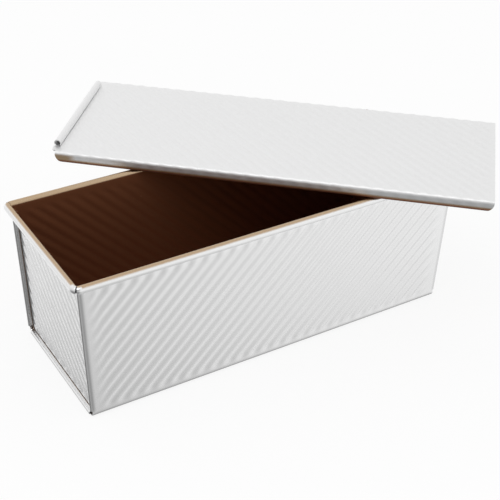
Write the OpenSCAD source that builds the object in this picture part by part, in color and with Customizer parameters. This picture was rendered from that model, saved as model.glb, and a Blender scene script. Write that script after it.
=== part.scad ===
/* [Pan] */
// Length over the rolled rim
rim_length = 330; // [250:1:420]
// Width over the rolled rim
rim_width = 128; // [100:1:180]
// Height from the rest face to the top of the rim
pan_height = 118; // [80:1:150]
// Distance that the foot of each end stands back from the end of the rim
foot_inset = 9.7; // [6:0.1:16]
// Thickness of all sheet
sheet = 0.8; // [0.6:0.05:1]
// Outer radius of the bends between the base and the long walls
bend_radius = 4; // [3:0.5:8]

/* [Rim] */
// Outer diameter of the rolled rim
bead_diameter = 5.8; // [5:0.1:7]
// Outer radius of the rim at its corners
rim_corner_radius = 6.1; // [5.9:0.1:8]
// Room between the rim wire and the sheet rolled round it
wire_clearance = 0.2; // [0.1:0.05:0.4]
// Angle that the sheet turns through as it rolls round the wire
curl_angle = 305; // [270:5:305]
// Part of each corner that the end panel's rim goes round
corner_share = 55; // [30:1:65]
// Width of the slit where the two lengths of rolled rim meet
rim_slit = 0.6; // [0.3:0.1:1]

/* [Hems and end panels] */
// Depth of the hem, from its fold to the edge of its inner leg
hem_depth = 3; // [2.5:0.1:4]
// Gap between the inner leg of the hem and the end panel
hem_gap = 0.6; // [0.4:0.1:1.2]
// Room on each side of the flange inside the hem
seam = 0.1; // [0.08:0.01:0.15]
// Height of the relief opening at each lower corner
relief = 2.4; // [1.5:0.1:4]
// Height over which the end panel steps outward to its rim
step_height = 8; // [6:0.5:12]
// Straight part between the step and the underside of the rolled rim
step_land = 0.7; // [0.5:0.1:2]

/* [Corrugation] */
// Pitch of the ribs, square to them
rib_pitch = 7.8; // [6:0.1:12]
// Depth of the ribs, from crest to trough
rib_depth = 1; // [0.6:0.1:1.2]
// Depth of the ribs in the base
base_rib_depth = 0.6; // [0.4:0.05:0.7]
// Flat sides that make up one wave
rib_steps = 8; // [6:2:12]
// Flat margin of the walls and the base beside the hems
side_margin = 9; // [4:0.5:12]
// Flat margin above the bends of the base, under the rim and under the step of the ends
edge_margin = 3; // [2:0.5:8]
// Flat margin of the end panels beside the hems and above the bend
end_margin = 6; // [4:0.5:12]

/* [Lid] */
// Length by which the lid passes the rim at each end when it is closed
lid_overhang = 4; // [2:0.1:10]
// Room between the rim and the side of the lid's channel
channel_side_gap = 0.7; // [0.4:0.1:1.5]
// Height of play of the rim in the channel
channel_play = 1.45; // [0.8:0.05:3]
// Width of the flange that hooks under the rim
channel_flange = 4.5; // [3.5:0.1:5]
// Outer radius of the bend between the lid and its lip
lid_bend_radius = 2.5; // [1.5:0.1:3]
// Outer radius of the bend between the lip and its flange
flange_bend_radius = 2; // [1.5:0.1:2.5]
// Outer diameter of the rolled end
roll_diameter = 5.6; // [4:0.1:8]
// Angle that the sheet turns through in the rolled end
roll_angle = 308; // [270:1:310]
// Width of the rolled end
roll_width = 110; // [60:1:118]
// Width of the slit between the rolled end and each corner tab
roll_slit = 1; // [0.5:0.1:3]
// Corner radius of the tabs
tab_radius = 3.5; // [1:0.1:5]
// Radius that rounds the lower ends of both lips
lip_end_radius = 7; // [3:0.5:8]
// Flat margin round the ribs of the lid
lid_margin = 3; // [2:0.5:15]

/* [Lid at rest] */
// Turn of the lid as it lies across the rim
lid_turn = -41.5; // [-60:0.5:-20]
// Centre of the lid along the pan
lid_x = 60.3; // [40:0.1:80]
// Centre of the lid across the pan
lid_y = 39.1; // [30:0.1:50]
// Room between the rim and the lid that lies on it
lid_rest_gap = 0.3; // [0.1:0.1:1]

/* [Hidden] */
$fn = 48;
eps = 0.01;

// Rolled rim: radii and the line that its centre follows
bead_r = bead_diameter / 2;
wire_r = bead_r - sheet - wire_clearance;
bead_z = pan_height - bead_r;
bead_x = rim_length / 2 - bead_r;
bead_y = rim_width / 2 - bead_r;
bead_bottom = pan_height - bead_diameter;
corner_r = rim_corner_radius - bead_r;
corner_x = bead_x - corner_r;
corner_y = bead_y - corner_r;
slit_angle = rim_slit / corner_r * 180 / PI / 2;

// Long walls: outer and middle planes
wall_out = bead_y - bead_r + sheet;
wall_mid = wall_out - sheet / 2;

// Ends: the hem's fold, and the slope that brings the end panels out to the rim
hem_thickness = 3 * sheet + 2 * seam;
fold_r = hem_thickness / 2;
fold_x = rim_length / 2 - foot_inset - fold_r;
panel_face = hem_depth + hem_gap - fold_r;
panel_mid = panel_face + sheet / 2;
leg_x = bead_x - bead_r + sheet / 2;
hem_top = bead_bottom - sheet;
fold_top_x = bead_x - bead_r;
slope = atan((fold_top_x - fold_r + sheet - fold_x) / bead_bottom);

// Step of the end panel up to its rim
step_top = bead_bottom - step_land;
step_bottom = step_top - step_height;
step_half_width = wall_out - hem_thickness - hem_gap / 2;
step_points = 8;

// Lid: channel and rolled end, from its own rest plane up
lid_width = rim_width + 2 * (channel_side_gap + sheet);
lid_height = 2 * sheet + bead_diameter + channel_play;
lid_half = lid_width / 2;
lid_end = rim_length / 2 + lid_overhang;
roll_r = roll_diameter / 2;
roll_u = -lid_end + roll_r;
roll_z = lid_height - sheet + roll_r;
tab_inner = roll_width / 2 + roll_slit;
lid_z = pan_height + lid_rest_gap;

// Middle line of the end panel at a height, and the line of its whole section
function panel_x(z) = fold_x - panel_mid / cos(slope) + z * tan(slope);
function step_x(k) =
    let (a = panel_x(step_bottom))
    a + (leg_x - a) * (1 - cos(180 * k / step_points)) / 2;
function step_z(k) = step_bottom + step_height * k / step_points;
panel_foot = [panel_x(0), 0];
step_foot = [panel_x(step_bottom), step_bottom];
step_line = [for (k = [1 : step_points]) [step_x(k), step_z(k)]];

// Outline of a sheet that follows a steep line of points
function strip(p) = concat(
    [for (i = [0 : len(p) - 1]) p[i] + [sheet / 2, 0]],
    [for (i = [len(p) - 1 : -1 : 0]) p[i] - [sheet / 2, 0]]);

// Height of the wave at one of its corners, between -1 and 1
function wave(k) = cos(360 * (k + 0.5) / rib_steps) / cos(180 / rib_steps);

// Lays a section drawn across the pan along its length, centred
module along_x(length) {
    rotate([90, 0, 90]) linear_extrude(length, center = true) children();
}

// Lays a section drawn along the pan across its width, centred
module along_y(length) {
    rotate([90, 0, 0]) linear_extrude(length, center = true) children();
}

// Frame of the sloping end: X out of the pan, Z up the slope, zero at the hem's fold
module end_frame() {
    translate([fold_x, 0, 0]) rotate([0, slope, 0]) children();
}

// Inside of a U with rounded lower corners, inset from the outside of the pan
module u_fill(inset, top) {
    half = wall_out - inset;
    r = bend_radius - inset;
    translate([-half, bend_radius]) square([2 * half, top - bend_radius]);
    translate([r - half, inset]) square([2 * (half - r), bend_radius - inset + eps]);
    for (side = [-1, 1]) {
        translate([side * (half - r), bend_radius]) circle(r);
    }
}

module u_strip(inset, top) {
    difference() {
        u_fill(inset, top);
        u_fill(inset + sheet, top + eps);
    }
}

// Section of the rolled rim round its centre: the sheet rises on the left and rolls over to the right
module curl_section() {
    open_end = curl_angle - 180;
    reach = 2 * bead_r;
    difference() {
        circle(bead_r);
        circle(bead_r - sheet);
        polygon([
            [0, 0],
            [-reach, 0],
            [-reach, -2 * reach],
            [reach * cos(open_end), -reach * sin(open_end)],
        ]);
    }
    translate([-bead_r, -bead_r]) square([sheet, bead_r]);
}

// Corrugated sheet, ribs at an angle in its own plane, outer side up
module ribs(angle, depth, length, width) {
    extent = (length + width) / sqrt(2);
    count = ceil(extent / rib_pitch / 2) * rib_steps;
    step = rib_pitch / rib_steps;
    rotate([0, 0, angle - 90]) rotate([90, 0, 0])
        linear_extrude(extent, center = true)
            polygon(concat(
                [for (k = [-count : count - 1]) [(k + 0.5) * step, wave(k) * depth / 2 + sheet / 2]],
                [for (k = [count - 1 : -1 : -count]) [(k + 0.5) * step, wave(k) * depth / 2 - sheet / 2]]));
}

// Frames of the wrapper's three panels, outer side up, and the windows that their ribs fill
module wall_frame(side) {
    rotate([0, 0, side > 0 ? 180 : 0]) translate([0, -wall_mid, 0]) rotate([90, 0, 0]) children();
}

module wall_window() {
    low = bend_radius + edge_margin;
    high = bead_bottom - edge_margin;
    half_low = fold_x + low * tan(slope) - side_margin;
    half_high = fold_x + high * tan(slope) - side_margin;
    linear_extrude(4 * sheet, center = true)
        polygon([[-half_low, low], [half_low, low], [half_high, high], [-half_high, high]]);
}

module wall_ribs() {
    translate([0, bead_bottom / 2, 0]) ribs(45, rib_depth, rim_length, pan_height);
}

module base_frame() {
    translate([0, 0, (sheet + base_rib_depth) / 2]) rotate([180, 0, 0]) children();
}

module base_window() {
    half_x = fold_x - hem_depth - side_margin;
    half_y = wall_out - bend_radius - edge_margin;
    linear_extrude(4 * sheet, center = true)
        polygon([[-half_x, -half_y], [half_x, -half_y], [half_x, half_y], [-half_x, half_y]]);
}

module base_ribs() {
    ribs(45, base_rib_depth, rim_length, rim_width);
}

// One corner of a rolled rim, turned from the end's side through an angle
module corner_curl(angle) {
    rotate_extrude(angle = angle) translate([corner_r, bead_z]) curl_section();
}

module wrapper_sheet() {
    difference() {
        along_x(2 * corner_x) {
            u_strip(0, bead_z);
            for (side = [0, 1]) {
                mirror([side, 0]) translate([bead_y, bead_z]) curl_section();
            }
        }
        for (turn = [0, 180]) {
            rotate([0, 0, turn]) end_frame()
                translate([-sheet, -rim_width / 2, -rim_width])
                    cube([rim_width, rim_width, rim_width + bead_bottom]);
        }
    }
}

// Section of a hem: outer leg on the side of the sheet, fold, and inner leg
module hem_section(outer_leg) {
    inner = fold_r - sheet;
    translate([-outer_leg, -fold_r]) square([outer_leg, sheet]);
    translate([fold_r - hem_depth, inner]) square([hem_depth - fold_r, sheet]);
    difference() {
        circle(fold_r);
        circle(inner);
        translate([-2 * fold_r, -2 * fold_r]) square([2 * fold_r, 4 * fold_r]);
    }
}

module side_hem(side) {
    low = bend_radius + relief;
    mirror([0, side < 0 ? 1 : 0, 0]) end_frame() translate([0, wall_out - fold_r, 0]) {
        translate([0, 0, low]) linear_extrude(hem_top - low) mirror([0, 1]) hem_section(hem_depth);
        translate([-hem_depth, fold_r - sheet, bend_radius])
            cube([hem_depth, sheet, bead_bottom - bend_radius]);
    }
}

module base_hem() {
    width = 2 * (wall_out - bend_radius - relief / 2);
    translate([fold_x, 0, fold_r]) along_y(width) hem_section(hem_depth);
}

module wrapper() {
    color("gainsboro") {
        difference() {
            wrapper_sheet();
            for (side = [-1, 1]) wall_frame(side) wall_window();
            base_frame() base_window();
        }
        for (side = [-1, 1]) {
            wall_frame(side) intersection() {
                wall_window();
                wall_ribs();
            }
        }
        base_frame() intersection() {
            base_window();
            base_ribs();
        }
        for (turn = [0, 180]) {
            rotate([0, 0, turn]) {
                base_hem();
                for (side = [-1, 1]) {
                    side_hem(side);
                    mirror([0, side < 0 ? 1 : 0, 0]) translate([corner_x, corner_y, 0])
                        mirror([1, -1, 0]) corner_curl(90 - corner_share - slit_angle);
                }
            }
        }
    }
}

// Window that the ribs of an end panel fill, in the frame of the sloping end
module end_window() {
    half = wall_out - hem_thickness - end_margin;
    low = bend_radius + end_margin;
    high = step_bottom - edge_margin;
    translate([-panel_mid, 0, 0]) rotate([90, 0, 90]) linear_extrude(4 * sheet, center = true)
        polygon([[-half, low], [half, low], [half, high], [-half, high]]);
}

module end_ribs() {
    translate([-panel_mid, 0, step_bottom / 2]) rotate([90, 0, 90])
        ribs(135, rib_depth, rim_width, pan_height);
}

// Sheet of an end panel: plate between the hems, and the step out to the rim
module end_plate() {
    side_x = wall_out - sheet - seam;
    intersection() {
        union() {
            along_y(2 * step_half_width)
                polygon(strip(concat([panel_foot, step_foot], step_line, [[leg_x, bead_bottom + sheet]])));
            for (side = [-1, 1]) {
                translate([0, side * (side_x + step_half_width) / 2, 0]) along_y(side_x - step_half_width)
                    polygon(strip([panel_foot, step_foot, [panel_x(hem_top), hem_top]]));
                translate([0, side * (step_half_width - sheet / 2), 0]) along_y(sheet)
                    polygon(concat([step_foot], step_line, [[panel_x(step_top), step_top]]));
            }
        }
        along_x(2 * rim_length) u_fill(sheet + seam, pan_height);
    }
}

module end_flange() {
    intersection() {
        along_x(2 * rim_length) u_strip(sheet + seam, hem_top - sheet);
        end_frame() translate([-panel_mid, -rim_width / 2, -rim_width])
            cube([panel_mid, rim_width, 3 * rim_width]);
    }
}

module end_panel() {
    difference() {
        union() {
            end_plate();
            end_flange();
        }
        end_frame() end_window();
    }
    end_frame() intersection() {
        end_window();
        end_ribs();
    }
    translate([bead_x, 0, bead_z]) along_y(2 * corner_y) curl_section();
    for (side = [0, 1]) {
        mirror([0, side, 0]) translate([corner_x, corner_y, 0])
            corner_curl(corner_share - slit_angle);
    }
}

module left_end_panel() {
    color("silver") rotate([0, 0, 180]) end_panel();
}

module right_end_panel() {
    color("silver") end_panel();
}

module rim_wire() {
    color("dimgray") {
        for (side = [-1, 1]) {
            translate([0, side * bead_y, bead_z]) along_x(2 * corner_x) circle(wire_r);
            translate([side * bead_x, 0, bead_z]) along_y(2 * corner_y) circle(wire_r);
        }
        for (i = [0, 1], j = [0, 1]) {
            mirror([i, 0, 0]) mirror([0, j, 0]) translate([corner_x, corner_y, bead_z])
                rotate_extrude(angle = 90) translate([corner_r, 0]) circle(wire_r);
        }
    }
}

// Sector of a ring between two angles, for the bends of the lid's channels
module bend(r, side_x, side_y) {
    difference() {
        circle(r);
        circle(r - sheet);
        translate([side_x > 0 ? -2 * r : 0, -2 * r]) square([2 * r, 4 * r]);
        translate([-2 * r, side_y > 0 ? -2 * r : 0]) square([4 * r, 2 * r]);
    }
}

// Section of one long edge of the lid: lip, bends and the flange under the rim
module channel_section() {
    r = lid_bend_radius;
    f = flange_bend_radius;
    translate([lid_half - r, lid_height - r]) bend(r, 1, 1);
    translate([lid_half - sheet, f]) square([sheet, lid_height - r - f]);
    translate([lid_half - f, f]) bend(f, 1, -1);
    translate([lid_half - channel_flange, 0]) square([channel_flange - f, sheet]);
}

// Cuts the lower end of the lips round
module lip_end_cut() {
    r = lip_end_radius;
    along_y(2 * lid_width) difference() {
        translate([-2 * r, -r]) square([3 * r, 2 * r]);
        translate([0, r]) circle(r);
        translate([0, -2 * r]) square([2 * r, 4 * r]);
    }
}

// Plan of the lid's flat sheet between its two bends
module lid_plan() {
    half = lid_half - lid_bend_radius;
    translate([roll_u, -roll_width / 2]) square([roll_r * 2, roll_width]);
    translate([roll_u + roll_r, -half]) square([lid_end - roll_u - roll_r, 2 * half]);
    for (side = [-1, 1]) {
        translate([-lid_end, side > 0 ? tab_inner : -half + tab_radius])
            square([lid_end + roll_u + roll_r, half - tab_inner - tab_radius]);
        translate([-lid_end + tab_radius, side > 0 ? tab_inner : -half])
            square([lid_end + roll_u + roll_r - tab_radius, half - tab_inner]);
        translate([-lid_end + tab_radius, side * (half - tab_radius)]) circle(tab_radius);
    }
}

module lid_window() {
    half = lid_half - lid_bend_radius - lid_margin;
    near_roll = roll_u + roll_r + lid_margin;
    far = lid_end - lid_margin;
    translate([0, 0, lid_height - sheet / 2]) linear_extrude(4 * sheet, center = true)
        polygon([[near_roll, -half], [far, -half], [far, half], [near_roll, half]]);
}

module lid_shape() {
    lip_start = -lid_end + tab_radius;
    open_end = 270 - roll_angle;
    reach = 2 * roll_r;
    difference() {
        union() {
            translate([0, 0, lid_height - sheet]) linear_extrude(sheet) lid_plan();
            for (side = [0, 1]) {
                mirror([0, side, 0]) translate([(lip_start + lid_end) / 2, 0, 0])
                    along_x(lid_end - lip_start) channel_section();
            }
        }
        lid_window();
        translate([lip_start + lip_end_radius, 0, 0]) lip_end_cut();
        mirror([1, 0, 0]) translate([-lid_end + lip_end_radius, 0, 0]) lip_end_cut();
    }
    intersection() {
        lid_window();
        translate([0, 0, lid_height - sheet / 2]) ribs(135, rib_depth, 2 * lid_end, lid_width);
    }
    // The rolled end: an open tube, its free edge just over the sheet
    translate([roll_u, 0, roll_z]) along_y(roll_width) difference() {
        circle(roll_r);
        circle(roll_r - sheet);
        polygon([[0, 0], [0, -reach], [reach, -reach], [reach * cos(open_end), reach * sin(open_end)]]);
    }
}

module lid() {
    color("whitesmoke") translate([lid_x, lid_y, lid_z]) rotate([0, 0, lid_turn]) lid_shape();
}

wrapper();
left_end_panel();
right_end_panel();
rim_wire();
lid();
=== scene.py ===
"""A loaf pan folded from corrugated sheet, with its sliding lid laid crooked across the rim."""
from math import atan2, cos, degrees, hypot, pi, radians, sin, sqrt

import bmesh
import bpy
from mathutils import Matrix, Vector


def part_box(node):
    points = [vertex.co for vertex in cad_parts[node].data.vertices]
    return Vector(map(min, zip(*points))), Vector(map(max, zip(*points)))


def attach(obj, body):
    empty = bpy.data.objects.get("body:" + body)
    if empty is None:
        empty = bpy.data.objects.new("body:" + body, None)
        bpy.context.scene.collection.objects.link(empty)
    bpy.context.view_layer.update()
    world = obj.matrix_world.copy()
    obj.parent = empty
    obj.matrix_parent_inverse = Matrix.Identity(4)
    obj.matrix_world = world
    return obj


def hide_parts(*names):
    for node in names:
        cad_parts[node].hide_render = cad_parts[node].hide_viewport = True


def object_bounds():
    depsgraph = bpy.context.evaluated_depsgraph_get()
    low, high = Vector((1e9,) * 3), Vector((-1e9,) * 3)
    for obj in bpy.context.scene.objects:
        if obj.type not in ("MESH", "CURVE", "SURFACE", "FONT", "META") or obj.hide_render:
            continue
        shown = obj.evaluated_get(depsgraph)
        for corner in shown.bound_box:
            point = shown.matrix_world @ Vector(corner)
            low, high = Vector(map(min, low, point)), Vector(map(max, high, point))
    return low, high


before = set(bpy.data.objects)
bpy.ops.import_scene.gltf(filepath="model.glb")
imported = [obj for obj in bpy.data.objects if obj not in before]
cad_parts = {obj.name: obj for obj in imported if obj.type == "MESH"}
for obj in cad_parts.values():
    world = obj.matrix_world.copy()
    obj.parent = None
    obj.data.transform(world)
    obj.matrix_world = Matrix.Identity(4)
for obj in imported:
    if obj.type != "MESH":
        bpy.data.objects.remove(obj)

bl_info = {
    "name": "Loaf pan with sliding lid",
    "version": (1, 0, 0),
    "blender": (4, 5, 0),
    "location": "3D View > Sidebar > Loaf pan",
    "description": "Models the pan's folded sheets, its lid, their finishes and a studio",
    "category": "Add Mesh",
}

MM = 0.001
X, Y, Z = 0, 1, 2
CAD_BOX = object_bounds()
PAN_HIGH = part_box("wrapper")[1]
WIRE_LOW, WIRE_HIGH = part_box("rim_wire")
LID_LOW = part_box("lid")[0]

# How far the sheets' edges are rolled, in degrees, and in how many steps of the mesh
RIM_TURN = 305
LID_ROLL_TURN = 308
ROLL_STEPS = 24
# The end panel's rim goes round this many degrees of a corner, the long sheet's round the rest
END_SHARE = 55
# Between the end panel's step and its rolled rim
STEP_ROOM = 0.7 * MM
# The end panel's flange: its narrow first strip, and what its second strip leaves off
FLANGE_STRIP = 0.4 * MM
FLANGE_SHORT = 1.4 * MM
# Round shoulders of the long walls: cuts counted from the fold, drop, and its end under the rim
SHOULDER_CUTS = 0.6 * MM, 1.3 * MM, 2.1 * MM, 3.0 * MM
SHOULDER_DROP = 0.6 * MM
SHOULDER_FADE = 0, 2 * MM
# On each side of the lid's rolled end
ROLL_SLIT = 0.5 * MM
# How the lid lies: its turn about the vertical, in degrees, and its middle
LID_TURN = -41.5
LID_MIDDLE = 60.3 * MM, 39.1 * MM

# Ribs: distances from an edge at which they begin and at which they have their full depth
HEM_FADE = 5 * MM, 14 * MM
PLATE_SIDE_FADE = 3.5 * MM, 7 * MM
PLATE_FOOT_FADE = 4.5 * MM, 8 * MM
PLATE_TOP_FADE = 0, 4 * MM
LID_ROLL_FADE = 0.5 * MM, 6 * MM
LID_END_FADE = 0.5 * MM, 5 * MM
LID_BEND_FADE = 0, 5 * MM
LIP_FADE = -6.5 * MM, -1.5 * MM
# The same beside the bends of the base and under the rim: the plain margin and the rise after it
WALL_MARGIN = 1 * MM
WALL_RISE = 5 * MM
# Share of their depth that the lid's ribs keep over the bend into the lip
LIP_RIBS = 0.5

# Levels of the coat attribute; bare metal is 0
THIN_COAT = 0.5
FULL_COAT = 1
# Past the full coat into the oil's darkness: overspray with painted shade at the lips' lower edge
LIP_COAT_AND_SHADE = 1.4
# The top level paints near-black oil together with painted shade of the hems' narrow gaps
OIL_AND_SHADE_COAT = 2
# Where the thin coat begins on the rolled rim, in degrees from its outer side
WALL_SPREAD, LEFT_CORNERS, RIGHT_CORNERS = 28, 55, 100
END_SPREAD, NEAR_CORNERS, FAR_CORNERS = 44, 48, 85
# A corner's spread counts from this far before its arc
CORNER_LEAD = 1 * MM
# Degrees over which the thin coat comes in, and between which the full coat does
THIN_COAT_RISE = 32
FULL_COAT_RISE = 150, 178
# The inside of the pan reaches this far past the end panel's outer face
PANEL_ROOM = 0.2 * MM
# Oil and painted shade on the end panel's flange in the hem's narrow gap: widths of the strips
# that it stays in, and the depth that it darkens over
OIL_AND_SHADE_SIDE, OIL_AND_SHADE_FOOT = 3.4 * MM, 4.4 * MM
OIL_AND_SHADE_DEPTH = 0.1 * MM, 0.4 * MM
# Outside of the lid's lips: overspray coat at their lower edge, darkened past the full coat as
# painted shade; and a thin coat over their left end as a painted brown reflection
LIP_SHADE_TOP, LIP_SHADE_FADE = 4.2 * MM, 3.6 * MM
END_REFLECTION_REACH = -22 * MM, -13 * MM
END_REFLECTION_DROP = 1 * MM, 3 * MM
# Under the lid, the coat comes in over this distance from the rolled end
UNDER_COAT_RISE = 4 * MM

# Faces nearer than this lie in one plane, and edges are picked with this much leeway
FLUSH = 0.05 * MM
LEEWAY = 0.1 * MM
# Parts that one go of the subdivide tool makes at most
MOST_PARTS = 90
# How much coarser the mesh of the base is across the pan
BASE_COARSER = 1.4
# Steps of the mesh in the folds, in the bends and round the corners of the rim
HEM_STEPS = 8
BASE_BEND_STEPS, LID_BEND_STEPS, FLANGE_BEND_STEPS = 5, 6, 5
LONG_CORNER_STEPS, END_CORNER_STEPS = 5, 7
# Parts of the end panel's step, which rises like half a wave
STEP_PARTS = 10


def length(label, text, default_mm):
    """A property that holds one size, given here in millimetres."""
    return bpy.props.FloatProperty(
        name=label, description=text, default=default_mm * MM, min=0, unit="LENGTH", precision=5)


def colour(label, text, hex_code):
    """A property that holds one colour, given as an sRGB hex code."""
    return bpy.props.FloatVectorProperty(
        name=label, description=text, default=srgb(hex_code), size=3, min=0, max=1,
        subtype="COLOR")


def srgb(hex_code):
    """Linear colour of an sRGB hex code."""
    values = [int(hex_code[i:i + 2], 16) / 255 for i in (1, 3, 5)]
    return tuple(v / 12.92 if v <= 0.04045 else ((v + 0.055) / 1.055) ** 2.4 for v in values)


def opaque(rgb):
    """A colour with its fourth value, as the shader nodes take it."""
    return tuple(rgb) + (1.0,)


class LoafPanSizes(bpy.types.PropertyGroup):
    """Sizes of the folded sheets"""
    sheet: length("Sheet", "Thickness of all sheet", 0.8)
    rim_corner: length("Rim corner", "Outer radius of the rolled rim at its corners", 6.1)
    bead: length("Rolled rim", "Outer diameter of the rolled rim", 5.8)
    foot_inset: length("Foot inset", "How far the foot of each end stands back from the rim", 9.7)
    bend: length("Base bend", "Outer radius between the base and the long walls", 4)
    hem: length("Hem depth", "From the hem's fold to the edge of its inner leg", 3)
    hem_gap: length("Hem gap", "Between the hem's inner leg and the end panel", 0.6)
    shoulder: length("Shoulder", "Width over which a long wall rounds off before its hem", 3.2)
    seam: length("Seam", "Room on each side of the flange inside the hem", 0.1)
    relief: length("Relief", "Height of the opening at each lower corner", 1.6)
    step: length("Step height", "Height over which the end panel steps out to its rim", 8)
    rib_pitch: length("Rib pitch", "Pitch of the ribs, square to them", 7.8)
    rib_depth: length("Rib depth", "From crest to trough", 1)
    base_rib_depth: length("Base rib depth", "From crest to trough, in the base", 0.6)
    slit: length("Rim slit", "Width of the slit between the two lengths of rolled rim", 0.6)
    side_play: length("Side play", "Room between the rim and the side of the lid's channel", 0.7)
    play: length("Height play", "Room above and below the rim in the channel", 1.45)
    overhang: length("Overhang", "How far the closed lid passes the rim at each end", 4)
    flange: length("Flange", "Width of the flange that hooks under the rim", 4.5)
    lid_bend: length("Lid bend", "Outer radius between the lid and its lip", 2.5)
    flange_bend: length("Flange bend", "Outer radius between the lip and its flange", 2)
    roll: length("Rolled end", "Outer diameter of the lid's rolled end", 5.6)
    roll_width: length("Roll width", "Width of the lid's rolled end", 110)
    tab: length("Tab corner", "Corner radius of the tabs beside the rolled end", 3.5)
    lip_end: length("Lip end", "Radius that rounds the lower ends of the lips", 7)
    mesh: length("Mesh", "Size of the mesh across the ribs", 1.72)


class LoafPanFinish(bpy.types.PropertyGroup):
    """Colours and studio light"""
    steel: colour("Steel", "Aluminised steel sheet", "#F2F2F2")
    coat: colour("Coat", "Silicone non-stick coat inside the pan", "#825238")
    coat_thin: colour("Thin coat", "The same coat where its spray thins out on the rim", "#BFA688")
    # Near-black colour that paints the shade of the hems' narrow gaps, together with baked-on oil
    oil_and_gap_shade: colour("Baked-on oil", "Near-black oil and painted shade in the narrow gap of the hems", "#17120F")
    floor: colour("Floor", "Paper under the pan", "#FAFAFA")
    studio: bpy.props.FloatProperty(
        name="Studio", description="Light from the white studio all round",
        default=0.91, min=0, max=2)


def sizes():
    """The sizes that the panel holds."""
    return bpy.context.scene.loaf_pan_sizes


def finish():
    """The colours and the light that the panel holds."""
    return bpy.context.scene.loaf_pan_finish


class Shape:
    """Lines and planes that the pieces share, worked out from the frame and the sizes."""

    def __init__(self):
        s = sizes()
        self.bead_r = s.bead / 2
        self.roll_in = self.bead_r - s.sheet
        self.bead_x = (WIRE_HIGH.x - WIRE_LOW.x) / 2 - (WIRE_HIGH.z - WIRE_LOW.z) / 2
        self.bead_y = (WIRE_HIGH.y - WIRE_LOW.y) / 2 - (WIRE_HIGH.z - WIRE_LOW.z) / 2
        self.bead_z = PAN_HIGH.z - self.bead_r
        self.bead_bottom = PAN_HIGH.z - s.bead
        self.corner_r = s.rim_corner - self.bead_r
        self.corner_x = self.bead_x - self.corner_r
        self.corner_y = self.bead_y - self.corner_r
        self.wall = self.bead_y - self.bead_r + s.sheet
        self.low_y = self.wall - s.bend
        self.hem_y = self.low_y - s.relief / 2
        self.fold_r = (3 * s.sheet + 2 * s.seam) / 2
        self.fold_x = self.bead_x + self.bead_r - s.foot_inset - self.fold_r
        top_x = self.bead_x - self.bead_r - self.fold_r + s.sheet
        self.lean = (top_x - self.fold_x) / self.bead_bottom
        self.face = s.hem + s.hem_gap - self.fold_r
        self.hem_low = s.bend + s.relief
        self.hem_top = self.bead_bottom - s.sheet
        self.step_top = self.bead_bottom - STEP_ROOM
        self.step_low = self.step_top - s.step
        self.step_y = self.wall - 2 * self.fold_r - s.hem_gap / 2
        self.leg_x = self.bead_x - self.roll_in
        self.lid_height = 2 * s.sheet + s.bead + s.play
        self.lid_half = self.bead_y + self.bead_r + s.side_play + s.sheet
        self.lid_end = self.bead_x + self.bead_r + s.overhang
        self.roll_r = s.roll / 2
        self.roll_u = -self.lid_end + self.roll_r

    def fold_line(self, z):
        """Distance of the hem's fold from the middle of the pan at a height."""
        return self.fold_x + z * self.lean

    def panel_line(self, z):
        """Distance of the end panel's outer face from the middle of the pan at a height."""
        return self.fold_line(z) - self.face * sqrt(1 + self.lean ** 2)


def deselect():
    """Leaves nothing selected: the frame's own pieces come in selected."""
    bpy.ops.object.select_all(action="DESELECT")


def start_plane(name, low, high):
    """A flat rectangle between two corners in one level plane, open for editing."""
    deselect()
    bpy.ops.mesh.primitive_plane_add(size=1, location=(0, 0, 0))
    piece = bpy.context.object
    piece.name = name
    bpy.ops.object.mode_set(mode="EDIT")
    bpy.ops.mesh.select_mode(type="EDGE")
    bpy.ops.mesh.select_all(action="SELECT")
    bpy.ops.transform.resize(
        value=(high[0] - low[0], high[1] - low[1], 1), center_override=(0, 0, 0))
    bpy.ops.transform.translate(
        value=((low[0] + high[0]) / 2, (low[1] + high[1]) / 2, low[2]))
    return piece


def pick(piece, test):
    """Selects the edges whose two ends both pass a test."""
    mesh = bmesh.from_edit_mesh(piece.data)
    bpy.ops.mesh.select_all(action="DESELECT")
    for edge in mesh.edges:
        if all(test(v.co) for v in edge.verts):
            edge.select_set(True)
    bmesh.update_edit_mesh(piece.data)


def reshape(piece, move):
    """Lets a function move each point of the mesh that is open for editing."""
    mesh = bmesh.from_edit_mesh(piece.data)
    for vertex in mesh.verts:
        move(vertex.co)
    bmesh.update_edit_mesh(piece.data)


def near(a, b, room=0.02 * MM):
    """Whether two coordinates are the same but for rounding."""
    return abs(a - b) < room


def sign(value):
    """The side of the middle that a coordinate is on: 1 or -1."""
    return 1 if value > 0 else -1


def extrude(move):
    """Extrudes the selected edges along a vector."""
    bpy.ops.mesh.extrude_region_move(TRANSFORM_OT_translate={"value": move})


def spin(centre, axis, angle, steps):
    """Spins the selected edges; the tool itself counts its angle the other way round the axis."""
    bpy.ops.mesh.spin(steps=steps, angle=-angle, center=centre, axis=axis)


def cut_edges(piece, axis, longer, count, where=lambda co: True):
    """Cuts edges that run further than a length along one axis into equal parts.

    One go of the tool makes MOST_PARTS of them at most, so a larger count takes two goes.
    """
    parts = max(1, round(count))
    first = 1
    while parts / first > MOST_PARTS:
        first += 1
    for number in (first, round(parts / first)):
        mesh = bmesh.from_edit_mesh(piece.data)
        bpy.ops.mesh.select_all(action="DESELECT")
        for edge in mesh.edges:
            a, b = (v.co for v in edge.verts)
            if abs(a[axis] - b[axis]) > longer and where(a) and where(b):
                edge.select_set(True)
        bmesh.update_edit_mesh(piece.data)
        if number > 1:
            bpy.ops.mesh.subdivide(number_cuts=number - 1)
        longer /= number


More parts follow.
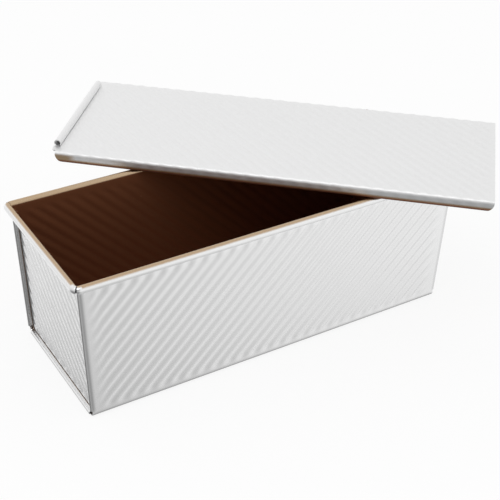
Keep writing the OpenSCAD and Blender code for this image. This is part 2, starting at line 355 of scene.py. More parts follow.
def close_edit(piece, outward_at, outward):
    """Ends editing with every face's outer side outward; outward is known at one place."""
    bpy.ops.mesh.select_all(action="SELECT")
    bpy.ops.mesh.remove_doubles(threshold=0.005 * MM)
    bpy.ops.mesh.normals_make_consistent(inside=False)
    mesh = bmesh.from_edit_mesh(piece.data)
    mesh.faces.ensure_lookup_table()
    spot = Vector(outward_at)
    nearest = min(mesh.faces, key=lambda f: (f.calc_center_median() - spot).length)
    if nearest.normal.dot(Vector(outward)) < 0:
        bpy.ops.mesh.select_all(action="SELECT")
        bpy.ops.mesh.flip_normals()
    bpy.ops.object.mode_set(mode="OBJECT")


def apply_modifier(piece, kind, **settings):
    """Adds a modifier with its settings and applies it."""
    modifier = piece.modifiers.new(kind.title(), kind)
    for key, value in settings.items():
        setattr(modifier, key, value)
    bpy.context.view_layer.objects.active = piece
    bpy.ops.object.modifier_apply(modifier=modifier.name)


def ease(value, start, end):
    """0 before start, 1 after end, and smooth between."""
    t = min(1, max(0, (value - start) / (end - start)))
    return t * t * (3 - 2 * t)


def press_ribs(piece, across, crest, depth, weight, level=0.5):
    """Presses a wave into the sheet: across is its direction, crest a point on one crest.

    The level is the share of the depth that goes inward: a half, or all of it in the base.
    """
    pitch = sizes().rib_pitch
    across = Vector(across).normalized()
    group = piece.vertex_groups.new(name="ribs")
    for vertex in piece.data.vertices:
        amount = weight(vertex.co)
        if amount > 0:
            group.add([vertex.index], amount, "REPLACE")
    # Legacy bands repeat every 2 pi / 10 along the sum of their three coordinates
    texture = bpy.data.textures.new("ribs", "WOOD")
    texture.wood_type = "BANDS"
    texture.noise_basis_2 = "SIN"
    guide = bpy.data.objects.new("rib_guide", None)
    bpy.context.scene.collection.objects.link(guide)
    side = across.orthogonal().normalized()
    turn = Matrix((across, side, across.cross(side))).transposed().to_4x4()
    along = 10 * pitch / (2 * pi)
    never = 1000
    guide.matrix_world = (
        Matrix.Translation(Vector(crest) - across * pitch / 4) @ turn
        @ Matrix.Diagonal((along, never, never, 1)))
    bpy.context.view_layer.update()
    apply_modifier(
        piece, "DISPLACE", texture=texture, texture_coords="OBJECT", texture_coords_object=guide,
        vertex_group="ribs", direction="NORMAL", mid_level=level, strength=depth)
    piece.vertex_groups.remove(piece.vertex_groups["ribs"])
    bpy.data.objects.remove(guide)
    bpy.data.textures.remove(texture)


def give_thickness(piece):
    """Turns the outer face into a sheet; the new inner face is marked by a vertex group."""
    piece.vertex_groups.new(name="inner_face")
    apply_modifier(
        piece, "SOLIDIFY", thickness=sizes().sheet, offset=-1, use_even_offset=True,
        use_quality_normals=True, shell_vertex_group="inner_face")


def mark_coat(piece, on_inner, on_outer):
    """Stores the level of the coat at each vertex, and drops the inner face's mark."""
    mark = piece.vertex_groups["inner_face"].index
    vertices = piece.data.vertices
    inside = {v.index for v in vertices if any(g.group == mark for g in v.groups)}
    values = [on_inner(v.co) if v.index in inside else on_outer(v.co) for v in vertices]
    # The coat attribute also carries painted shade, at levels past the full coat
    coat = piece.data.attributes.new("coat", "FLOAT", "POINT")
    coat.data.foreach_set("value", values)
    piece.vertex_groups.remove(piece.vertex_groups["inner_face"])


def shade(piece, angle=40):
    """Smooth shading, but for edges sharper than an angle in degrees."""
    deselect()
    piece.select_set(True)
    bpy.context.view_layer.objects.active = piece
    bpy.ops.object.shade_smooth_by_angle(angle=radians(angle))


def dress(piece, body, node, material):
    """Shows a piece in place of its CAD node."""
    piece.data.materials.clear()
    piece.data.materials.append(material)
    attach(piece, body)
    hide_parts(node)


def rim_coat(shape, co, spread, corner_spread):
    """Coat on the inner face of the pan: full inside, thin over the top of the rim, none outside.

    The spread is the angle on the rolled rim, counted from its outer side, at which the thin
    coat begins along a side; the corner spread is the same at the corners.
    """
    dx = abs(co.x) - shape.corner_x
    dy = abs(co.y) - shape.corner_y
    out = (hypot(dx, dy) if dx > 0 and dy > 0 else max(dx, dy)) - shape.corner_r
    if co.z < shape.step_low:
        return FULL_COAT if abs(co.x) < shape.panel_line(co.z) + PANEL_ROOM else 0
    if co.z < shape.bead_bottom or (out < -shape.bead_r + FLUSH and co.z < shape.bead_z):
        return 0 if out > 0 else FULL_COAT
    angle = degrees(atan2(co.z - shape.bead_z, out))
    if angle < 0:
        return 0
    if dx > -CORNER_LEAD and dy > -CORNER_LEAD:
        spread = corner_spread
    return (THIN_COAT * ease(angle, spread, spread + THIN_COAT_RISE)
            + (FULL_COAT - THIN_COAT) * ease(angle, *FULL_COAT_RISE))


def raise_walls(piece, shape):
    """Bends both long walls up from the base and rolls the rim along their top edges."""
    s = sizes()
    levels = [s.bend, shape.hem_low, shape.hem_top, shape.bead_bottom, shape.bead_z]
    halves = [shape.fold_line(z) for z in levels[:-1]] + [shape.corner_x]
    for side in (1, -1):
        pick(piece, lambda co: near(co.y, side * shape.hem_y))
        extrude((0, side * s.relief / 2, 0))
        spin((0, side * shape.low_y, s.bend), (side, 0, 0), radians(90), BASE_BEND_STEPS)
        bpy.ops.transform.resize(value=(halves[0] / shape.fold_x, 1, 1), center_override=(0, 0, 0))
        for i in range(1, len(levels)):
            extrude((0, 0, levels[i] - levels[i - 1]))
            bpy.ops.transform.resize(
                value=(halves[i] / halves[i - 1], 1, 1), center_override=(0, 0, 0))
        rim = 0, side * shape.bead_y, shape.bead_z
        spin(rim, (-side, 0, 0), radians(RIM_TURN), ROLL_STEPS)


def fold_hems(piece, shape):
    """Folds the three hems of each end and takes the rims part of the way round the corners."""
    s = sizes()
    for end in (1, -1):
        pick(piece, lambda co: near(co.x, end * shape.fold_x)
             and abs(co.y) < shape.hem_y + LEEWAY)
        spin((end * shape.fold_x, 0, shape.fold_r), (0, -end, 0), pi, HEM_STEPS)
        extrude((end * (shape.fold_r - s.hem), 0, 0))
        slant = Vector((end * shape.lean, 0, 1)).normalized()
        for side in (1, -1):
            pick(piece, lambda co: near(co.x, end * shape.fold_line(co.z))
                 and near(co.y, side * shape.wall)
                 and shape.hem_low - LEEWAY < co.z < shape.hem_top + LEEWAY)
            fold = end * shape.fold_x, side * (shape.wall - shape.fold_r), 0
            spin(fold, slant * (-end * side), pi, HEM_STEPS)
            inward = slant.cross(Vector((0, end, 0)))
            extrude(inward * (s.hem - shape.fold_r))
            pick(piece, lambda co: near(co.x, end * shape.corner_x, room=0.5 * MM)
                 and co.y * side > 0 and co.z > shape.bead_bottom - LEEWAY)
            share = radians(90 - END_SHARE) - s.slit / shape.corner_r / 2
            corner = end * shape.corner_x, side * shape.corner_y, 0
            spin(corner, (0, 0, -end * side), share, LONG_CORNER_STEPS)


def round_shoulders(piece, shape):
    """Presses the side hems in, which rounds the long walls off before the fold."""
    s = sizes()
    for end in (1, -1):
        for back in SHOULDER_CUTS:
            bpy.ops.mesh.select_all(action="SELECT")
            bpy.ops.mesh.bisect(
                plane_co=(end * (shape.fold_x - back), 0, 0), plane_no=(1, 0, -end * shape.lean))

    def press_in(co):
        from_end = shape.fold_line(co.z) - abs(co.x)
        depth = shape.wall - abs(co.y)
        beside_hem = s.bend < co.z < shape.bead_bottom and from_end < s.shoulder
        if beside_hem and depth < shape.fold_r:
            along = (1 - max(0, from_end) / s.shoulder) ** 2
            press = SHOULDER_DROP * along * (1 - depth / shape.fold_r)
            press *= (ease(co.z, s.bend, shape.hem_low)
                      * ease(shape.bead_bottom - co.z, *SHOULDER_FADE))
            co.y -= press * sign(co.y)
    reshape(piece, press_in)


def build_wrapper(shape):
    """The long sheet: base, both long walls, their rolled rims and the hems round each end."""
    s = sizes()
    piece = start_plane(
        "wrapper_sheet", (-shape.fold_x, -shape.hem_y, 0), (shape.fold_x, shape.hem_y, 0))
    raise_walls(piece, shape)
    # The walls' upright edges, then the edges across the base
    cut_edges(piece, Z, longer=50 * MM, count=(shape.hem_top - shape.hem_low) / s.mesh)
    cut_edges(piece, Y, longer=shape.hem_y, count=2 * shape.hem_y / (BASE_COARSER * s.mesh))
    fold_hems(piece, shape)
    cut_edges(piece, X, longer=shape.fold_x, count=2 * shape.fold_x / s.mesh)
    round_shoulders(piece, shape)
    close_edit(piece, (0, 0, 0), (0, 0, -1))

    margin_low = s.bend + WALL_MARGIN
    margin_high = shape.bead_bottom - WALL_MARGIN
    for side in (1, -1):
        def on_wall(co):
            if co.y * side < shape.low_y or not near(abs(co.y), shape.wall, FLUSH):
                return 0
            from_end = shape.fold_line(co.z) - abs(co.x)
            return (ease(from_end, *HEM_FADE)
                    * ease(co.z, margin_low, margin_low + WALL_RISE)
                    * ease(margin_high - co.z, 0, WALL_RISE))
        press_ribs(piece, (1, 0, side), (0, 0, shape.bead_bottom / 2), s.rib_depth, on_wall)

    def on_base(co):
        if co.z > FLUSH:
            return 0
        return (ease(shape.fold_x - abs(co.x), *HEM_FADE)
                * ease(shape.low_y - abs(co.y), WALL_MARGIN, WALL_MARGIN + WALL_RISE))
    press_ribs(piece, (1, 1, 0), (0, 0, 0), s.base_rib_depth, on_base, level=1)
    give_thickness(piece)

    def on_inside(co):
        return rim_coat(shape, co, WALL_SPREAD, RIGHT_CORNERS if co.x > 0 else LEFT_CORNERS)
    mark_coat(piece, on_inside, lambda co: 0)
    return piece


def step_out(piece, shape):
    """From the plate's top edge: the step outward, and the rim rolled along it and its corners."""
    s = sizes()
    pick(piece, lambda co: near(co.z, shape.step_low) and abs(co.y) < shape.step_y + LEEWAY)
    start = shape.panel_line(shape.step_low)
    place = Vector((start, 0, shape.step_low))
    for k in range(1, STEP_PARTS + 1):
        out = (shape.leg_x - start) * (1 - cos(pi * k / STEP_PARTS)) / 2
        following = Vector((start + out, 0, shape.step_low + s.step * k / STEP_PARTS))
        extrude(following - place)
        place = following
    extrude((0, 0, shape.bead_bottom - shape.step_top))
    extrude((0, 0, shape.bead_z - shape.bead_bottom))
    spin((shape.bead_x, 0, shape.bead_z), (0, 1, 0), radians(RIM_TURN), ROLL_STEPS)
    for side in (1, -1):
        # A cheek closes the step at its side
        pick(piece, lambda co: near(co.y, side * shape.step_y)
             and shape.step_low - LEEWAY < co.z < shape.step_top + LEEWAY
             and co.x < shape.leg_x + LEEWAY)
        bpy.ops.mesh.edge_face_add()
        pick(piece, lambda co: near(co.y, side * shape.step_y)
             and co.z > shape.bead_bottom - LEEWAY)
        extrude((0, side * (shape.corner_y - shape.step_y), 0))
        share = radians(END_SHARE) - s.slit / shape.corner_r / 2
        corner = shape.corner_x, side * shape.corner_y, 0
        spin(corner, (0, 0, side), share, END_CORNER_STEPS)


def build_end_panel(shape, name):
    """The end at +X: ribbed plate, flange round three sides, step out and its rolled rim."""
    s = sizes()
    low = 2 * s.sheet + s.seam
    side_y = shape.wall - 2 * s.sheet - s.seam
    # A narrow strip whose long edges then move to the foot and to the step
    strip = 1 * MM
    piece = start_plane(name, (0, -shape.step_y, 0), (strip, shape.step_y, 0))

    def stand_up(co):
        co.z = low if co.x < strip / 2 else shape.step_low
        co.x = shape.panel_line(co.z)
    reshape(piece, stand_up)
    for side in (1, -1):
        pick(piece, lambda co: near(co.y, side * shape.step_y))
        extrude((0, side * (side_y - shape.step_y), 0))
    cut_edges(piece, Y, longer=shape.step_y, count=2 * shape.step_y / s.mesh)
    cut_edges(piece, Z, longer=shape.step_low / 2, count=shape.step_low / s.mesh)
    radius = side_y - shape.low_y

    def round_off(co):
        """Lower corners follow the bend of the long sheet."""
        off = Vector((abs(co.y) - shape.low_y, co.z - s.bend))
        if off.x > 0 and off.y < 0 and off.length > radius:
            off *= radius / off.length
            co.y = (shape.low_y + off.x) * sign(co.y)
            co.z = s.bend + off.y
            co.x = shape.panel_line(co.z)
    reshape(piece, round_off)
    rise = shape.hem_top - shape.step_low
    for side in (1, -1):
        pick(piece, lambda co: near(co.z, shape.step_low)
             and co.y * side > shape.step_y - LEEWAY)
        extrude((rise * shape.lean, 0, rise))

    def outline(co):
        if co.z > s.bend:
            return near(abs(co.y), side_y)
        off = Vector((abs(co.y) - shape.low_y, co.z - s.bend))
        return near(co.z, low) or (off.x > 0 and near(off.length, radius))

    pick(piece, outline)
    extrude((FLANGE_STRIP, 0, 0))
    extrude((shape.face * sqrt(1 + shape.lean ** 2) - FLANGE_SHORT, 0, 0))
    step_out(piece, shape)
    middle = shape.bead_z / 2
    close_edit(piece, (shape.panel_line(middle), 0, middle), (1, 0, 0))

    def on_plate(co):
        if co.z > shape.step_low or not near(co.x, shape.panel_line(co.z), FLUSH):
            return 0
        return (ease(side_y - abs(co.y), *PLATE_SIDE_FADE) * ease(co.z, *PLATE_FOOT_FADE)
                * ease(shape.step_low - co.z, *PLATE_TOP_FADE))
    middle = shape.step_low / 2
    crest = shape.panel_line(middle), 0, middle
    press_ribs(piece, (-shape.lean, -1, -1), crest, s.rib_depth, on_plate)
    give_thickness(piece)

    def on_inside(co):
        return rim_coat(shape, co, END_SPREAD, FAR_CORNERS if co.y > 0 else NEAR_CORNERS)

    def seam_oil_and_shade(co):
        """The flange in the hem, dark with baked-on oil and with painted shade of its narrow gap.
        """
        if co.z > shape.step_low or (abs(co.y) < side_y - OIL_AND_SHADE_SIDE and co.z > OIL_AND_SHADE_FOOT):
            return 0
        return OIL_AND_SHADE_COAT * ease(co.x - shape.panel_line(co.z), *OIL_AND_SHADE_DEPTH)
    mark_coat(piece, on_inside, seam_oil_and_shade)
    return piece


def build_lid(shape):
    """The lid on its own axes: ribbed sheet, a channel along each side, rolled end and tabs."""
    s = sizes()
    top = shape.lid_height
    roll_half = s.roll_width / 2
    slit_half = roll_half + ROLL_SLIT
    flat_half = shape.lid_half - s.lid_bend
    crease = shape.roll_u + shape.roll_r
    tab_start = -shape.lid_end + s.tab
    piece = start_plane("lid_sheet", (crease, -roll_half, top), (shape.lid_end, roll_half, top))
    for side in (1, -1):
        pick(piece, lambda co: near(co.y, side * roll_half))
        extrude((0, side * (slit_half - roll_half), 0))
        extrude((0, side * (flat_half - slit_half), 0))
        pick(piece, lambda co: near(co.x, crease) and co.y * side > slit_half - LEEWAY)
        extrude((tab_start - crease, 0, 0))
        extrude((-s.tab, 0, 0))
        pick(piece, lambda co: near(co.y, side * flat_half) and co.x > tab_start - LEEWAY)
        bend = 0, side * flat_half, top - s.lid_bend
        spin(bend, (-side, 0, 0), radians(90), LID_BEND_STEPS)
        extrude((0, 0, -(top - s.lid_bend - s.flange_bend)))
        bend = 0, side * (shape.lid_half - s.flange_bend), s.flange_bend
        spin(bend, (-side, 0, 0), radians(90), FLANGE_BEND_STEPS)
        extrude((0, -side * (s.flange - s.flange_bend), 0))
    pick(piece, lambda co: near(co.x, crease) and abs(co.y) < roll_half + LEEWAY)
    extrude((shape.roll_u - crease, 0, 0))
    roll = shape.roll_u, 0, top - s.sheet + shape.roll_r
    spin(roll, (0, 1, 0), radians(LID_ROLL_TURN), ROLL_STEPS)
    cut_edges(piece, X, longer=shape.lid_end, count=(shape.lid_end - crease) / s.mesh)
    cut_edges(piece, Y, longer=roll_half, count=2 * roll_half / s.mesh)
    # The strips beside the roll, the height of the lips, and the tabs
    cut_edges(piece, Y, longer=6 * MM, count=5)
    cut_edges(piece, Z, longer=3 * MM, count=4)
    cut_edges(piece, X, longer=s.tab * 0.9, count=4, where=lambda co: co.x < crease)

    def round_ends(co):
        """Rounds the tabs' corners and slides the ends of the lips back to their round cut."""
        off = Vector((co.x - tab_start, abs(co.y) - flat_half + s.tab))
        if near(co.z, top) and off.x < 0 < off.y and off.length > s.tab:
            off *= s.tab / off.length
            co.x = tab_start + off.x
            co.y = (flat_half - s.tab + off.y) * sign(co.y)
        if co.z < s.lip_end and abs(co.y) > flat_half - s.flange:
            reach = s.lip_end - sqrt(max(0, s.lip_end ** 2 - (s.lip_end - co.z) ** 2))
            co.x = min(max(co.x, tab_start + reach), shape.lid_end - reach)
    reshape(piece, round_ends)
    close_edit(piece, (0, 0, top), (0, 0, 1))

    def on_sheet(co):
        if co.z > top + FLUSH:
            return 0
        edge = LIP_RIBS + (1 - LIP_RIBS) * ease(flat_half - abs(co.y), *LID_BEND_FADE)
        return (ease(co.x - crease, *LID_ROLL_FADE) * ease(shape.lid_end - co.x, *LID_END_FADE)
                * ease(co.z - top, *LIP_FADE) * edge)
    press_ribs(piece, (1, 1, 0), (0, 0, top), s.rib_depth, on_sheet)
    give_thickness(piece)

    def on_underside(co):
        return FULL_COAT * ease(co.x - crease, 0, UNDER_COAT_RISE)

    def lip_coat_shade_and_reflection(co):
        # Overspray at the lower edge, darkened past the full coat as painted shade
        low = LIP_COAT_AND_SHADE * ease(LIP_SHADE_TOP - co.z, 0, LIP_SHADE_FADE)
        # The thin coat over the left end is a painted brown reflection
        end = (THIN_COAT * ease(-co.x - shape.lid_end, *END_REFLECTION_REACH)
               * ease(top - co.z, *END_REFLECTION_DROP))
        return max(low, end)
    mark_coat(piece, on_underside, lip_coat_shade_and_reflection)
    return piece


def lid_place():
    """Where the lid lies: turned about the vertical and moved over the rim."""
    turn = Matrix.Rotation(radians(LID_TURN), 4, "Z")
    return Matrix.Translation((*LID_MIDDLE, LID_LOW.z)) @ turn


def add_node(tree, kind, settings=None, links=None):
    """Adds one shader node; links maps its inputs to other nodes' outputs."""
    node = tree.nodes.new(kind)
    for key, value in (settings or {}).items():
        if isinstance(key, str) and hasattr(node, key):
            setattr(node, key, value)
        else:
            node.inputs[key].default_value = value
    for key, source in (links or {}).items():
        tree.links.new(source, node.inputs[key])
    return node


def ramp(tree, value, start=0.0, end=1.0, low=0.0, high=1.0, kind="LINEAR"):
    """Goes from low to high while the value goes from start to end."""
    settings = {"interpolation_type": kind, "From Min": start, "From Max": end,
                "To Min": low, "To Max": high}
    return add_node(tree, "ShaderNodeMapRange", settings, {"Value": value}).outputs[0]


def noise(tree, place, grain, detail):
    """Noise with grain of a real size."""
    settings = {"Scale": 1 / grain, "Detail": detail}
    return add_node(tree, "ShaderNodeTexNoise", settings, {"Vector": place}).outputs["Fac"]


def paint_over(tree, below, share, rgb):
    """A colour laid over what is below it, by a share."""
    settings = {"data_type": "RGBA", 7: opaque(rgb)}
    return add_node(tree, "ShaderNodeMix", settings, {0: share, 6: below}).outputs[2]


def mix_shaders(tree, share, first, second):
    """Mixes the outputs of two shader nodes, by a share."""
    links = {0: share, 1: first.outputs[0], 2: second.outputs[0]}
    return add_node(tree, "ShaderNodeMixShader", {}, links).outputs[0]


def new_material(name):
    """An empty node material and its tree."""
    material = bpy.data.materials.new(name)
    material.use_nodes = True
    tree = material.node_tree
    tree.nodes.clear()
    return material, tree


def steel_with_coat(name, roughness):
    """Aluminised steel, rolled and pressed, with a silicone non-stick coat where it is sprayed.

    A pale satin metal: its grain comes from a soft rolling haze, fine specks and the spangle of
    its aluminium skin. The coat attribute tells where the coat is thin or full, and where
    near-black oil and painted shade lie over it.
    """
    f = finish()
    spangle_size, haze_size, speck_size = 2.5 * MM, 12 * MM, 0.7 * MM
    spangle_dark = 0.98
    # The spray's edge wanders by a few tenths of a millimetre
    wander = 0.25
    material, tree = new_material(name)
    place = add_node(tree, "ShaderNodeTexCoord").outputs["Object"]
    coat = add_node(tree, "ShaderNodeAttribute", {"attribute_name": "coat"}).outputs["Fac"]
    haze = noise(tree, place, haze_size, 4.0)
    speck = noise(tree, place, speck_size, 3.0)
    spangle = add_node(
        tree, "ShaderNodeTexVoronoi", {"Scale": 1 / spangle_size}, {"Vector": place})
    metal = add_node(
        tree, "ShaderNodeMix",
        {"data_type": "RGBA", 6: opaque(c * spangle_dark for c in f.steel), 7: opaque(f.steel)},
        {0: spangle.outputs["Distance"]}).outputs[2]
    edge = add_node(
        tree, "ShaderNodeMath", {"operation": "MULTIPLY_ADD", 1: wander, 2: -wander / 2},
        {0: speck}).outputs[0]
    uneven = add_node(
        tree, "ShaderNodeMath", {"operation": "ADD", "use_clamp": True},
        {0: coat, 1: edge}).outputs[0]
    thin = ramp(tree, uneven, start=0.05, end=THIN_COAT)
    full = ramp(tree, coat, start=THIN_COAT, end=0.95)
    # Near-black oil, which also paints the shade of the hems' narrow gaps and of the lids' lower
    # edges
    oiled_and_shaded = ramp(tree, coat, start=1.1, end=1.8)
    painted = paint_over(tree, metal, thin, f.coat_thin)
    painted = paint_over(tree, painted, full, f.coat)
    painted = paint_over(tree, painted, oiled_and_shaded, f.oil_and_gap_shade)
    metallic = ramp(tree, full, low=1.0, high=0.35)
    rough = ramp(tree, haze, low=roughness[0], high=roughness[1])
    bump = add_node(
        tree, "ShaderNodeBump", {"Strength": 0.03, "Distance": 0.05 * MM}, {"Height": speck})
    surface = add_node(
        tree, "ShaderNodeBsdfPrincipled", {},
        {"Base Color": painted, "Metallic": metallic, "Roughness": rough,
         "Normal": bump.outputs[0]})
    add_node(tree, "ShaderNodeOutputMaterial", {}, {"Surface": surface.outputs[0]})
    return material


def drawn_wire():
    """Drawn steel wire, hidden in the rim but for the slits: darker, with a fine grain."""
    material, tree = new_material("drawn_steel_wire")
    place = add_node(tree, "ShaderNodeTexCoord").outputs["Object"]
    rough = ramp(tree, noise(tree, place, 0.8 * MM, 3.0), low=0.35, high=0.5)
    surface = add_node(
        tree, "ShaderNodeBsdfPrincipled",
        {"Base Color": opaque(srgb("#6A6A6C")), "Metallic": 1.0}, {"Roughness": rough})
    add_node(tree, "ShaderNodeOutputMaterial", {}, {"Surface": surface.outputs[0]})
    return material


def sheet_material(duller=False):
    """The finish of the sheets. The lid, drawn over its tools uncoated outside, is duller."""
    if duller:
        return steel_with_coat("duller_aluminised_steel_with_silicone_coat", (0.50, 0.57))
    name = "aluminised_steel_with_silicone_coat"
    return bpy.data.materials.get(name) or steel_with_coat(name, (0.20, 0.30))


class LOAFPAN_OT_wrapper(bpy.types.Operator):
    """Model the long sheet that makes the base and both long walls"""
    bl_idname = "loaf_pan.wrapper"
    bl_label = "Long sheet"

    def execute(self, context):
        piece = build_wrapper(Shape())
        shade(piece)
        dress(piece, "pan", "wrapper", sheet_material())
        return {"FINISHED"}


class LOAFPAN_OT_end_panels(bpy.types.Operator):
    """Model the two end panels, one pressing used at both ends"""
    bl_idname = "loaf_pan.end_panels"
    bl_label = "End panels"

    def execute(self, context):
        right = build_end_panel(Shape(), "right_end_sheet")
        shade(right)
        left = right.copy()
        left.data = right.data.copy()
        left.name = "left_end_sheet"
        context.scene.collection.objects.link(left)
        left.data.transform(Matrix.Rotation(pi, 4, "Z"))
        dress(right, "pan", "right_end_panel", sheet_material())
        dress(left, "pan", "left_end_panel", sheet_material())
        return {"FINISHED"}


class LOAFPAN_OT_lid(bpy.types.Operator):
    """Model the lid and lay it across the rim"""
    bl_idname = "loaf_pan.lid"
    bl_label = "Lid"

    def execute(self, context):
        piece = build_lid(Shape())
        shade(piece)
        piece.data.transform(lid_place())
        dress(piece, "lid", "lid", sheet_material(duller=True))
        return {"FINISHED"}


class LOAFPAN_OT_rim_wire(bpy.types.Operator):
    """Give the wire in the rim its finish"""
    bl_idname = "loaf_pan.rim_wire"
    bl_label = "Rim wire"

    def execute(self, context):
        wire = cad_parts["rim_wire"]
        wire.data.materials.clear()
        wire.data.materials.append(drawn_wire())
        return {"FINISHED"}


# The camera was fitted to the outlines of the photograph, 500 pixels wide
FOCAL_PIXELS = 1149.44
FRAME_PIXELS = 500
CAMERA_PLACE = Vector((-392.21, -637.53, 555.36)) * MM
AZIMUTH, ELEVATION, ROLL = radians(-32.287), radians(33.456), radians(1.938)


def add_camera():
    """The camera of the photograph."""
    back = Vector((sin(AZIMUTH) * cos(ELEVATION), -cos(AZIMUTH) * cos(ELEVATION), sin(ELEVATION)))
    right = (-back).cross(Vector((0, 0, 1))).normalized()
    up = right.cross(-back)
    turned_right = cos(ROLL) * right + sin(ROLL) * up
    turned_up = -sin(ROLL) * right + cos(ROLL) * up
    data = bpy.data.cameras.new("camera")
    data.sensor_width = 36
    data.lens = FOCAL_PIXELS * data.sensor_width / FRAME_PIXELS
    camera = bpy.data.objects.new("camera", data)
    bpy.context.scene.collection.objects.link(camera)
    turn = Matrix((turned_right, turned_up, back)).transposed().to_4x4()
    camera.matrix_world = Matrix.Translation(CAMERA_PLACE) @ turn
    bpy.context.scene.camera = camera


def add_softbox(name, place, target, size, watts):
    """A square area lamp that faces a target."""
    data = bpy.data.lights.new(name, "AREA")
    data.shape = "SQUARE"
    data.size = size
    data.energy = watts
    lamp = bpy.data.objects.new(name, data)
    lamp.location = place
    lamp.rotation_euler = (Vector(target) - Vector(place)).to_track_quat("-Z", "Y").to_euler()
    bpy.context.scene.collection.objects.link(lamp)


# Parts of the studio that give less light or a little more: direction, cosines of the angles
# where the change starts and ends, and the share of the light at its middle
STUDIO_PARTS = (
    ((-0.66, -0.10, -0.75), 0.56, 1.00, 0.47),
    ((-0.59, -0.42, -0.69), 0.37, 0.59, 0.70),
    ((0.92, 0.20, -0.34), 0.62, 1.00, 0.76),
    ((-0.07, 0.97, -0.22), 0.52, 0.83, 1.12),
    ((-0.95, 0.28, -0.15), 0.55, 0.95, 0.80),
    ((-0.45, -0.68, -0.58), 0.76, 0.97, 0.50),
    ((-0.38, -0.72, 0.55), 0.80, 0.97, 0.40),
    ((0.83, -0.56, 0.05), 0.65, 1.00, 1.12),
)


def studio_world():
    """White behind the pan; for the light itself an even studio with softer and brighter parts."""
    world = bpy.data.worlds.new("studio")
    bpy.context.scene.world = world
    world.use_nodes = True
    tree = world.node_tree
    tree.nodes.clear()
    direction = add_node(tree, "ShaderNodeTexCoord").outputs["Generated"]
    level = add_node(tree, "ShaderNodeValue").outputs[0]
    level.default_value = finish().studio
    for towards, start, end, light_left in STUDIO_PARTS:
        facing = add_node(
            tree, "ShaderNodeVectorMath",
            {"operation": "DOT_PRODUCT", 1: Vector(towards).normalized()},
            {0: direction}).outputs["Value"]
        part = ramp(tree, facing, start, end, low=1.0, high=light_left, kind="SMOOTHSTEP")
        level = add_node(
            tree, "ShaderNodeMath", {"operation": "MULTIPLY"}, {0: level, 1: part}).outputs[0]
    light = add_node(tree, "ShaderNodeBackground", {"Color": (1, 1, 1, 1)}, {"Strength": level})
    plain = add_node(tree, "ShaderNodeBackground", {"Color": (1, 1, 1, 1), "Strength": 1.0})
    seen = add_node(tree, "ShaderNodeLightPath").outputs["Is Camera Ray"]
    add_node(tree, "ShaderNodeOutputWorld", {}, {"Surface": mix_shaders(tree, seen, light, plain)})


def floor_material():
    """Matt white paper that the camera sees as white, with the pan's soft shadow on it."""
    material, tree = new_material("white_paper_floor")
    lit_white = 0.86
    matt = add_node(tree, "ShaderNodeBsdfDiffuse", {"Color": opaque(finish().floor)})
    glow = add_node(tree, "ShaderNodeEmission", {"Color": (1, 1, 1, 1), "Strength": 1.0})
    seen = add_node(tree, "ShaderNodeLightPath").outputs["Is Camera Ray"]
    share = add_node(
        tree, "ShaderNodeMath", {"operation": "MULTIPLY", 1: lit_white}, {0: seen}).outputs[0]
    add_node(
        tree, "ShaderNodeOutputMaterial", {}, {"Surface": mix_shaders(tree, share, matt, glow)})
    return material


def contact_shade_material():
    """The shade that the pan leaves on the paper round its foot, as its own sheet reflects it.

    Black close to the foot and thinning out to nothing; only the sheet's reflections see it.
    """
    shape = Shape()
    # Half the footprint without its bends; the third number keeps height out of the distance
    foot = Vector((shape.fold_x, shape.wall - 2 * MM, 1))
    # A wide faint shade and a close one: reach, and share at the foot
    shades = (110 * MM, 0.05), (7 * MM, 0.5)
    material, tree = new_material("shade_round_the_foot")
    place = add_node(tree, "ShaderNodeTexCoord").outputs["Object"]
    folded = add_node(tree, "ShaderNodeVectorMath", {"operation": "ABSOLUTE"}, {0: place})
    past = add_node(
        tree, "ShaderNodeVectorMath", {"operation": "SUBTRACT", 1: foot}, {0: folded.outputs[0]})
    out = add_node(
        tree, "ShaderNodeVectorMath", {"operation": "MAXIMUM", 1: (0, 0, 0)},
        {0: past.outputs[0]})
    distance = add_node(
        tree, "ShaderNodeVectorMath", {"operation": "LENGTH"},
        {0: out.outputs[0]}).outputs["Value"]
    wide, close = (ramp(tree, distance, end=reach, low=share, high=0.0, kind="SMOOTHSTEP")
                   for reach, share in shades)
    share = add_node(
        tree, "ShaderNodeMath", {"operation": "ADD"}, {0: wide, 1: close}).outputs[0]
    clear = add_node(tree, "ShaderNodeBsdfTransparent")
    black = add_node(tree, "ShaderNodeEmission", {"Color": (0, 0, 0, 1), "Strength": 0.0})
    add_node(
        tree, "ShaderNodeOutputMaterial", {}, {"Surface": mix_shaders(tree, share, clear, black)})
    return material


def add_ground(name, size, drop, material):
    """A level square under the pan, a little below its foot."""
    deselect()
    bpy.ops.mesh.primitive_plane_add(size=size, location=(0, 0, CAD_BOX[0][2] - drop))
    ground = bpy.context.object
    ground.name = name
    ground.data.materials.append(material)
    ground.visible_glossy = False
    return ground


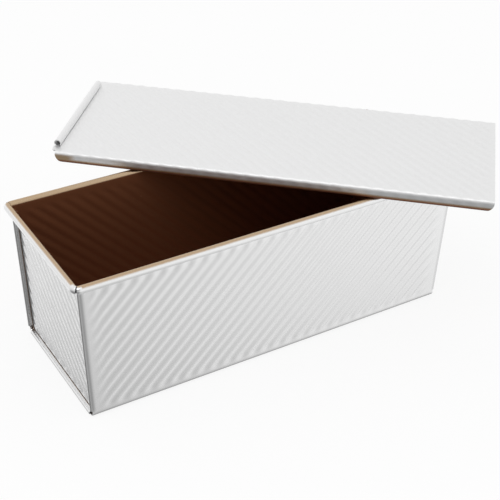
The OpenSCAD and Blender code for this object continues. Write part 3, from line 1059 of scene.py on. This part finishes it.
class LOAFPAN_OT_stage(bpy.types.Operator):
    """Set up the floor, the light and the camera"""
    bl_idname = "loaf_pan.stage"
    bl_label = "Stage"

    def execute(self, context):
        add_ground("floor", size=12, drop=0.15 * MM, material=floor_material())
        contact = add_ground(
            "shade_round_foot", size=1, drop=0.05 * MM, material=contact_shade_material())
        contact.visible_glossy = True
        contact.visible_camera = contact.visible_diffuse = contact.visible_shadow = False
        studio_world()
        add_softbox(
            "softbox_above", place=(-0.5, -0.5, 1.5), target=(0, 0, 0.1), size=0.9, watts=4)
        add_camera()
        context.scene.view_settings.view_transform = "Standard"
        return {"FINISHED"}


class LOAFPAN_PT_panel(bpy.types.Panel):
    """Sizes, finishes and pieces of the loaf pan"""
    bl_idname = "LOAFPAN_PT_panel"
    bl_label = "Loaf pan"
    bl_space_type = "VIEW_3D"
    bl_region_type = "UI"
    bl_category = "Loaf pan"

    def draw(self, context):
        column = self.layout.column()
        for name in LoafPanSizes.__annotations__:
            column.prop(context.scene.loaf_pan_sizes, name)
        for name in LoafPanFinish.__annotations__:
            column.prop(context.scene.loaf_pan_finish, name)
        for operator in OPERATORS:
            column.operator(operator.bl_idname)


OPERATORS = (
    LOAFPAN_OT_wrapper, LOAFPAN_OT_end_panels, LOAFPAN_OT_rim_wire, LOAFPAN_OT_lid,
    LOAFPAN_OT_stage)
CLASSES = (LoafPanSizes, LoafPanFinish) + OPERATORS + (LOAFPAN_PT_panel,)


def register():
    """Makes the pan's operators, properties and panel known."""
    for cls in CLASSES:
        bpy.utils.register_class(cls)
    bpy.types.Scene.loaf_pan_sizes = bpy.props.PointerProperty(type=LoafPanSizes)
    bpy.types.Scene.loaf_pan_finish = bpy.props.PointerProperty(type=LoafPanFinish)


def unregister():
    """Takes them away again."""
    del bpy.types.Scene.loaf_pan_finish
    del bpy.types.Scene.loaf_pan_sizes
    for cls in reversed(CLASSES):
        bpy.utils.unregister_class(cls)


def main():
    """Builds the pan."""
    register()
    bpy.ops.loaf_pan.wrapper()
    bpy.ops.loaf_pan.end_panels()
    bpy.ops.loaf_pan.rim_wire()
    bpy.ops.loaf_pan.lid()
    bpy.ops.loaf_pan.stage()


if __name__ == "__main__":
    main()
